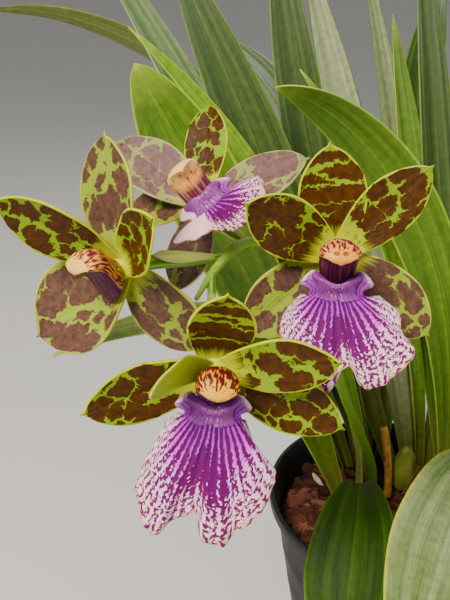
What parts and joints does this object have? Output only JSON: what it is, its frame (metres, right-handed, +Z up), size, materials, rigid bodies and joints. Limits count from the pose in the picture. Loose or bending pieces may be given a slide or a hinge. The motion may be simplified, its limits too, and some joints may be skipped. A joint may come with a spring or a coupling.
{
  "type": "potted_orchid",
  "caption": "Potted zygopetalum orchid: arching strap leaves and a leaning spike of green blooms with chocolate blotches and violet-veined ruffled lips, in a dark plastic pot of bark",
  "frame": {"origin": "centre of the pot's underside", "axes": "+Z up, -Y towards the viewer of the blooms, +X to the viewer's right"},
  "size_m": [0.5026, 0.4259, 0.4913],
  "materials": {
    "pot_plastic": "matte",
    "bark": "rough",
    "leaf": "satin leaf",
    "leaf_pale": "satin leaf",
    "stem": "satin stem",
    "dry_stalk": "dry",
    "bulb": "satin",
    "husk": "dry papery",
    "root": "matte",
    "tepal": "satin petal",
    "column": "waxy",
    "lip": "velvety petal"
  },
  "bodies": {
    "root": {"pot": "pot_plastic", "bark_bed": "bark", "flower_spike": "stem", "old_stalk": "dry_stalk", "leaf_front": "leaf", "leaf_left_broad": "leaf", "leaf_left_arching": "leaf", "leaf_left_narrow": "leaf", "leaf_far_left": "leaf", "leaf_left_tall": "leaf", "leaf_left_wide": "leaf", "leaf_centre_wide": "leaf", "leaf_centre_pale": "leaf_pale", "leaf_centre_narrow": "leaf", "leaf_centre_right": "leaf", "leaf_right_arching": "leaf", "leaf_right_pointed": "leaf", "leaf_right_tall": "leaf", "leaf_right_olive": "leaf", "leaf_front_right": "leaf", "leaf_right_low": "leaf", "leaf_back_left": "leaf", "leaf_back": "leaf", "leaf_back_right": "leaf", "leaf_far_right": "leaf", "leaf_right_upright": "leaf", "pseudobulb_centre": "bulb", "pseudobulb_front": "bulb", "pseudobulb_right": "bulb", "husk_centre": "husk", "husk_front": "husk", "husk_right": "husk", "root_front": "root", "root_left": "root", "tepals_right": "tepal", "tepals_lower": "tepal", "tepals_left": "tepal", "tepals_back": "tepal", "column_right": "column", "column_lower": "column", "column_left": "column", "column_back": "column", "lip_right": "lip", "lip_lower": "lip", "lip_back": "lip"}
  },
  "joints": []
}
